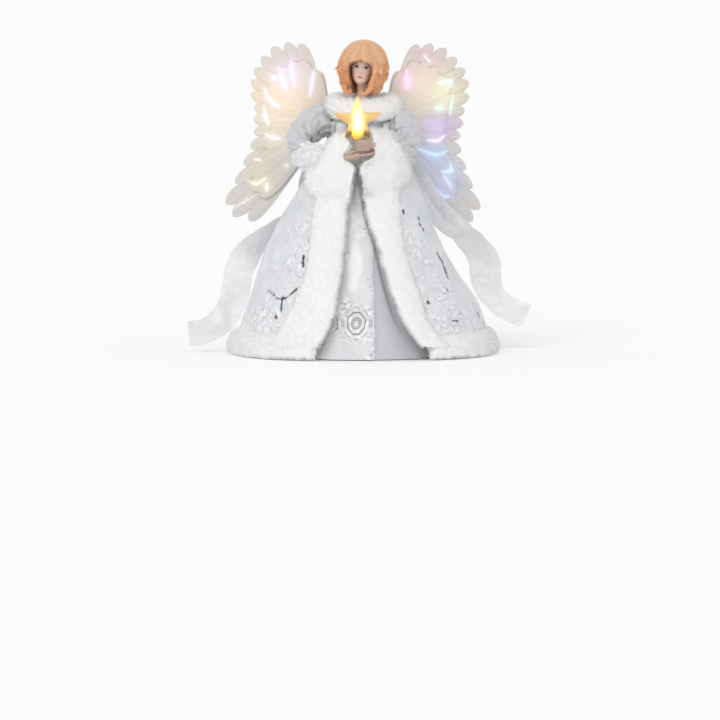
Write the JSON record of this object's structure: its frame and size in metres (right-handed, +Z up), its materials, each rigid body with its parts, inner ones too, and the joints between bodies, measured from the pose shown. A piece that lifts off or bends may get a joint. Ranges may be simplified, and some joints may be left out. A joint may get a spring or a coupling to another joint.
{
  "type": "angel tree topper",
  "caption": "Lit angel tree topper: hollow cone under a brocade skirt and fur-trimmed coat, resin bust, hands that hold a star, feather wings on a bracket, battery case inside.",
  "frame": {"origin": "on the cone's axis, at the surface that its rim stands on", "axes": "+Z up, the figure faces -Y, +X to the right of a viewer who faces the figure"},
  "size_m": [0.3307, 0.223, 0.2988],
  "materials": {
    "shell": "satin moulded plastic",
    "torso": "moulded foam plastic",
    "skin": "painted resin",
    "hair": "waved synthetic hair",
    "hands": "painted resin",
    "brocade": "white brocade",
    "coat": "silver brocade",
    "satin": "grey satin",
    "lace": "white lace on silver",
    "fur": "short white faux fur",
    "wing": "milky clear plastic",
    "star": "amber clear plastic",
    "lamp": "clear lamp",
    "amber": "amber plastic",
    "steel": "plated steel",
    "board": "coated board",
    "cable": "soft white cable",
    "cell": "plain wrapped cell",
    "knob": "black plastic",
    "organza": "sheer white organza"
  },
  "bodies": {
    "figure": {"arm_wire_left": "steel", "arm_wire_right": "steel", "battery_case": "shell", "bodice": "satin", "body_cone": "shell", "bracket_screw_1": "steel", "bracket_screw_2": "steel", "bust": "skin", "case_screw_1": "steel", "case_screw_2": "steel", "cell_1": "cell", "cell_2": "cell", "cell_3": "cell", "cell_spring_1": "steel", "cell_spring_2": "steel", "cell_spring_3": "steel", "coat": "coat", "collar_fur": "fur", "contact_strip_lower": "steel", "contact_strip_upper": "steel", "control_board": "board", "cover_screw_1": "steel", "cover_screw_2": "steel", "cuff_fur_left": "fur", "cuff_fur_right": "fur", "front_fur_left": "fur", "front_fur_right": "fur", "hair": "hair", "hand_left": "hands", "hand_right": "hands", "hem_fur": "fur", "lower_sleeve_left": "lace", "lower_sleeve_right": "lace", "sash_bow": "organza", "sash_tail_left": "organza", "sash_tail_right": "organza", "star_back": "star", "star_front": "star", "star_lamp": "lamp", "star_lead": "cable", "star_socket": "amber", "switch_body": "knob", "torso_block": "torso", "underskirt": "brocade", "upper_sleeve_left": "satin", "upper_sleeve_right": "satin", "wing_bracket": "shell", "wing_cover": "shell", "wing_coverts_left": "wing", "wing_coverts_right": "wing", "wing_feathers_left": "wing", "wing_feathers_right": "wing", "wing_lead": "cable", "wing_led_left": "lamp", "wing_led_right": "lamp"},
    "door": {"battery_door": "shell"},
    "knob": {"switch_knob": "knob"}
  },
  "joints": [
    {"name": "door_slide", "type": "slide", "parent": "figure", "child": "door", "axis": [0, 0.3489, -0.9371], "range_m": [0, 0.064]},
    {"name": "switch_slide", "type": "slide", "parent": "figure", "child": "knob", "axis": [1, 0, 0], "range_m": [-0.004, 0]}
  ]
}
